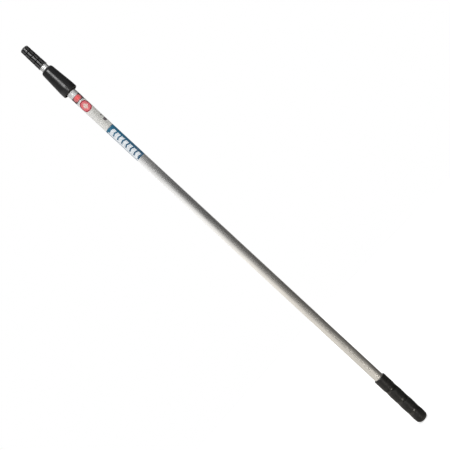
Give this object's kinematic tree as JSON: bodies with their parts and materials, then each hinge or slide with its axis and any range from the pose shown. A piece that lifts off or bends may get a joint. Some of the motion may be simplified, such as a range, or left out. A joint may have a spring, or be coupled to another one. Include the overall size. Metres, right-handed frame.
{
  "type": "roller extension pole",
  "caption": "Telescoping aluminium pole for a paint roller, with a twist-lock collar, fluted push-fit tip and rubber hand grip.",
  "frame": {"origin": "centre of the flat at the butt end of the hand grip, on the pole's axis", "axes": "+Z along the pole from butt to tool tip, -Y out of the printed labels, +X to the right when the labels are read with the tip up"},
  "size_m": [0.042, 0.042, 1.3475],
  "materials": {
    "tube_aluminium": "satin drawn tube",
    "grip_rubber": "fine matt texture",
    "collar_plastic": "satin moulded",
    "tip_plastic": "satin moulded",
    "ferrule_plastic": "moulded glass-filled nylon",
    "natural_plastic": "natural acetal",
    "plug_plastic": "moulded",
    "wiper_rubber": "soft rubber",
    "washer_steel": "zinc plated",
    "pin_steel": "zinc plated",
    "rivet_aluminium": "dull",
    "red_film": "printed film",
    "data_film": "printed film",
    "banner_film": "printed film"
  },
  "bodies": {
    "outer_section": {"outer_tube": "tube_aluminium", "hand_grip": "grip_rubber", "butt_plug": "plug_plastic", "guide_sleeve": "natural_plastic", "lock_ferrule": "ferrule_plastic", "ferrule_pins": "pin_steel", "red_sticker": "red_film", "data_label": "data_film", "banner_label": "banner_film"},
    "clamp": {"clamp_ring": "natural_plastic", "thrust_washer": "washer_steel"},
    "collar": {"lock_collar": "collar_plastic", "wiper_ring": "wiper_rubber"},
    "glide": {"glide_ring": "natural_plastic"},
    "inner_section": {"inner_tube": "tube_aluminium", "inner_end_plug": "plug_plastic", "end_plug_pin": "pin_steel", "tool_tip": "tip_plastic", "tip_rivets": "rivet_aluminium"}
  },
  "joints": [
    {"name": "collar_travel", "type": "slide", "parent": "outer_section", "child": "clamp", "axis": [0, 0, 1], "range_m": [0, 0.004]},
    {"name": "collar_turn", "type": "hinge", "parent": "clamp", "child": "collar", "pos_m": [0, 0, 1.218], "axis": [0, 0, 1], "range_deg": [0, 180]},
    {"name": "inner_slide", "type": "slide", "parent": "outer_section", "child": "glide", "axis": [0, 0, 1], "range_m": [0, 1.09]},
    {"name": "inner_spin", "type": "hinge", "parent": "glide", "child": "inner_section", "pos_m": [0, 0, 1.3], "axis": [0, 0, 1], "continuous": true}
  ],
  "couplings": [
    {"joint": "collar_turn", "follows": "collar_travel", "rad_per_m": 785.4}
  ]
}
